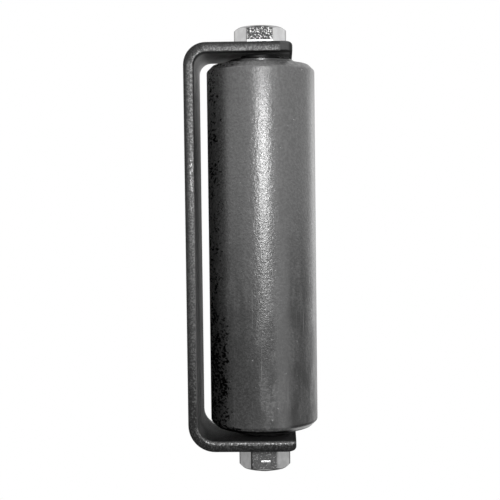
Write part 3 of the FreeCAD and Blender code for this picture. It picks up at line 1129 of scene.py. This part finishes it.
def break_arrises(piece, arris):
    """Rounds the sharp edges of a hex piece."""
    bevel = piece.modifiers.new("broken_arris", "BEVEL")
    bevel.width = arris
    bevel.segments = ARRIS_STEPS
    bevel.angle_limit = ARRIS_ANGLE
    bevel.use_clamp_overlap = False
    return made_plain(piece)


def make_axle_bolt():
    """Hex bolt: the head and plain shank, with a real thread on the end that takes the nut."""
    bolt = hex_copy("hex_axle_bolt", "axle_bolt", "zinc_plate")
    thread_top = BOLT_END + THREAD_LENGTH
    form = bmesh.new()
    form.from_mesh(bolt.data)
    geometry = form.verts[:] + form.edges[:] + form.faces[:]
    cut = bmesh.ops.bisect_plane(
        form, geom=geometry, plane_co=(0, 0, thread_top), plane_no=(0, 0, 1), clear_inner=True
    )
    rim = [item for item in cut["geom_cut"] if isinstance(item, bmesh.types.BMEdge)]
    bmesh.ops.contextual_create(form, geom=rim)
    bmesh.ops.recalc_face_normals(form, faces=form.faces)
    form.to_mesh(bolt.data)
    form.free()
    break_arrises(bolt, HEAD_ARRIS)

    rows = round(THREAD_LENGTH / THREAD_PITCH * THREAD_ROWS_PER_TURN)
    thread = run_tree(
        new_piece("thread", bpy.data.meshes.new("thread")), THREADED_ROD,
        Radius=BOLT_RADIUS, Depth=THREAD_DEPTH, Pitch=THREAD_PITCH, Length=THREAD_LENGTH,
        End_Chamfer=THREAD_END_CHAMFER, Steps_Round=THREAD_STEPS_ROUND, Rows=rows,
        Foot=(AXIS_X, 0, BOLT_END), Finish=FINISHES["zinc_plate"],
    )
    outward_faces(thread.data)
    stand_for(even_shading(joined(bolt, thread)), "axle_bolt")


def nick_wedge():
    """Wedge that cuts a nick into the front flat, with a long wall that slopes up to a short step."""
    depth = NICK_HEIGHT * math.tan(NICK_SLOPE)
    top = NICK_HEIGHT / 2 - FLANGE_OUTSIDE - NICK_BELOW_FLANGE
    section = [
        (-HEX_HALF_WIDTH - depth, top - 2 * NICK_HEIGHT),
        (-HEX_HALF_WIDTH + depth, top),
        (-HEX_HALF_WIDTH - depth, top),
    ]
    middle = AXIS_X + NICK_OFFSET
    corners = [(middle + end * NICK_LENGTH, y, z) for end in (-0.5, 0.5) for y, z in section]
    faces = [(0, 1, 2), (5, 4, 3), (0, 3, 4, 1), (1, 4, 5, 2), (2, 5, 3, 0)]
    mesh = bpy.data.meshes.new("nick")
    mesh.from_pydata(corners, [], faces)
    outward_faces(mesh)
    return mesh


def make_axle_nut():
    """Hex nut with a spanner nick across the flat that faces the front."""
    nut = hex_copy("hex_axle_nut", "axle_nut", "nut_steel")
    break_arrises(nut, NUT_ARRIS)
    nick = new_piece("nick", nick_wedge())
    cut = nut.modifiers.new("nick", "BOOLEAN")
    cut.object = nick
    cut.operation = "DIFFERENCE"
    made_plain(nut)
    bpy.data.objects.remove(nick)
    stand_for(even_shading(nut, NUT_SHARP_ANGLE), "axle_nut")


def dress_frame_nodes():
    """Gives every node of the frame the finish of its slot."""
    for row in frame["record"]["subparts"]:
        materials = frame["nodes"][row["node"]].data.materials
        materials.clear()
        materials.append(FINISHES[row["material_slot"]])


# Stage
FLOOR_CENTRE = (AXIS_X, 0, -0.36)
FLOOR_RADIUS = 0.8
FLOOR_STEPS = 96
SHADOW_RADIUS = 0.2
FLOOR_FADE_RADIUS = 0.7
MIRRORED_FADE_RADIUS = 0.45
FLOOR_LEVEL = 0.86
MIRRORED_FLOOR_LEVEL = 0.2


def make_floor():
    """Pale round floor below the object, which keeps its shadow near and fades to white around it."""
    mesh = bpy.data.meshes.new("floor")
    form = bmesh.new()
    bmesh.ops.create_circle(
        form, cap_ends=True, segments=FLOOR_STEPS, radius=FLOOR_RADIUS,
        matrix=Matrix.Translation(FLOOR_CENTRE),
    )
    form.to_mesh(mesh)
    form.free()
    floor = new_piece("floor", mesh)
    material = bpy.data.materials.new("pale_floor")
    material.use_nodes = True
    tree = material.node_tree
    tree.nodes.clear()
    place = output_of(tree, "ShaderNodeTexCoord", socket="Object")
    values = {0: place, 1: FLOOR_CENTRE}
    distance = output_of(tree, "ShaderNodeVectorMath", values, "Value", operation="DISTANCE")
    path = outputs_of(add_node(tree, "ShaderNodeLightPath"))
    fade = mixed(path["Is Glossy Ray"], FLOOR_FADE_RADIUS, MIRRORED_FADE_RADIUS)
    seen = either(path["Is Camera Ray"], path["Is Glossy Ray"])
    white = ramp(distance, SHADOW_RADIUS, fade) * seen
    shade = tones(path["Is Glossy Ray"], FLOOR_LEVEL, MIRRORED_FLOOR_LEVEL)
    pale = output_of(tree, "ShaderNodeBsdfDiffuse", {"Color": shade})
    bright = output_of(tree, "ShaderNodeEmission", {"Color": grey(1.0), "Strength": 1.0})
    surface = output_of(tree, "ShaderNodeMixShader", {0: white, 1: pale, 2: bright})
    add_node(tree, "ShaderNodeOutputMaterial", {"Surface": surface})
    mesh.materials.append(material)


# Surroundings as reflections see them: (turn, level) stops of grey low down, and white above a height
ROOM_LEVEL = 0.3
LOW_LEVELS = ((-2.4, 0.6), (-1.2, 0.02), (0.0, 0.2), (0.75, 0.5), (1.3, 0.02), (1.8, 0.02), (2.3, 1.0))
GREY_BELOW = -0.24
WHITE_ABOVE = 0.1
DIM_HEIGHTS = (0.02, 0.1, 0.25, 0.4)
DIM_FRONT = (-0.82, -0.95)
DIMMING = 0.85


def levels_round(turn, stops):
    """Grey level that follows a turn about the upright axis through (angle, level) stops."""
    share = output_of(turn.tree, "ShaderNodeMapRange", {0: turn, 1: -math.pi, 2: math.pi})
    made = add_node(turn.tree, "ShaderNodeValToRGB", {0: share})
    made.color_ramp.interpolation = "EASE"
    elements = made.color_ramp.elements
    elements.remove(elements[1])
    for number, (angle, level) in enumerate(stops):
        position = 0.5 + angle / math.tau
        stop = elements[0] if number == 0 else elements.new(position)
        stop.position = position
        stop.color = grey(level)
    return Output(made.outputs[0])


def make_world():
    """White for the camera. Reflections see it in uneven greys towards the ground and dim in front."""
    world = bpy.data.worlds.new("studio")
    bpy.context.scene.world = world
    world.use_nodes = True
    tree = world.node_tree
    tree.nodes.clear()
    side, depth, height = axes(output_of(tree, "ShaderNodeTexCoord", socket="Generated"))
    turn = calculated("ARCTAN2", side, depth * -1.0)
    walls = ramp(height, GREY_BELOW, WHITE_ABOVE, levels_round(turn, LOW_LEVELS), 1.0)
    dim = ramp(depth, *DIM_FRONT) * band(height, *DIM_HEIGHTS)
    mirrored = walls * (1.0 - dim * DIMMING)
    path = outputs_of(add_node(tree, "ShaderNodeLightPath"))
    in_mirror = either(path["Is Glossy Ray"], path["Is Transmission Ray"])
    colour = tones(path["Is Camera Ray"], tones(in_mirror, ROOM_LEVEL, mirrored), 1.0)
    background = output_of(tree, "ShaderNodeBackground", {"Color": colour, "Strength": 1.0})
    add_node(tree, "ShaderNodeOutputWorld", {"Surface": background})


# Camera, matched to the photograph
CAMERA_PLACE = Vector((0.0487502, -0.5697726, 0.0236779))
CAMERA_YAW = 0.02879
CAMERA_PITCH = 0.0448
CAMERA_ROLL = -0.01215
CAMERA_LENS = 76.995
CAMERA_SENSOR = 36.0
CAMERA_NEAR = 0.01


def make_camera():
    """Camera at the photograph's place and angle."""
    level_view = Matrix(((1, 0, 0), (0, 0, -1), (0, 1, 0)))
    turn = (
        Matrix.Rotation(CAMERA_ROLL, 3, "Z")
        @ Matrix.Rotation(CAMERA_PITCH, 3, "X")
        @ Matrix.Rotation(CAMERA_YAW, 3, "Y")
    )
    to_world = (turn @ level_view).transposed() @ Matrix.Diagonal((1, -1, -1))
    lens = bpy.data.cameras.new("camera")
    lens.lens = CAMERA_LENS
    lens.sensor_width = CAMERA_SENSOR
    lens.clip_start = CAMERA_NEAR
    camera = bpy.data.objects.new("camera", lens)
    camera.matrix_world = Matrix.Translation(CAMERA_PLACE) @ to_world.to_4x4()
    bpy.context.scene.collection.objects.link(camera)
    bpy.context.scene.camera = camera


def add_lamp(name, place, target, size, power, mirrored=True, tall=1.0):
    """Soft lamp of a width and power, some times as tall as wide, that points at a target."""
    lamp = bpy.data.lights.new(name, "AREA")
    lamp.shape = "RECTANGLE"
    lamp.size = size
    lamp.size_y = tall * size
    lamp.energy = power
    holder = bpy.data.objects.new(name, lamp)
    holder.visible_glossy = mirrored
    way = Vector(target) - Vector(place)
    turn = way.to_track_quat("-Z", "Y").to_matrix().to_4x4()
    holder.matrix_world = Matrix.Translation(place) @ turn
    bpy.context.scene.collection.objects.link(holder)


def make_lamps():
    """Small lamp beside the camera, a tall one behind at the right, and three soft ones around."""
    middle = (AXIS_X, 0, 0)
    upper_part = (AXIS_X, 0, 0.03)
    add_lamp("front_lamp", (0.085, -0.57, 0.085), middle, size=0.07, power=1.4)
    add_lamp("key_lamp", (0.36, -0.5, 0.42), upper_part, size=0.28, power=1.3, mirrored=False)
    add_lamp("rim_lamp", (0.52, 0.57, -0.01), middle, size=0.3, power=0.88, tall=2.6)
    add_lamp("top_lamp", (0.1, 0.25, 0.9), middle, size=0.7, power=5.0, mirrored=False)
    add_lamp("back_lamp", (-0.6, 0.8, 0.35), middle, size=0.6, power=5.0, mirrored=False)


# The whole scene
dress_frame_nodes()
make_roller_shell()
make_collars()
make_axle_bolt()
make_axle_nut()
make_floor()
make_world()
make_camera()
make_lamps()
bpy.context.scene.view_settings.view_transform = "Standard"
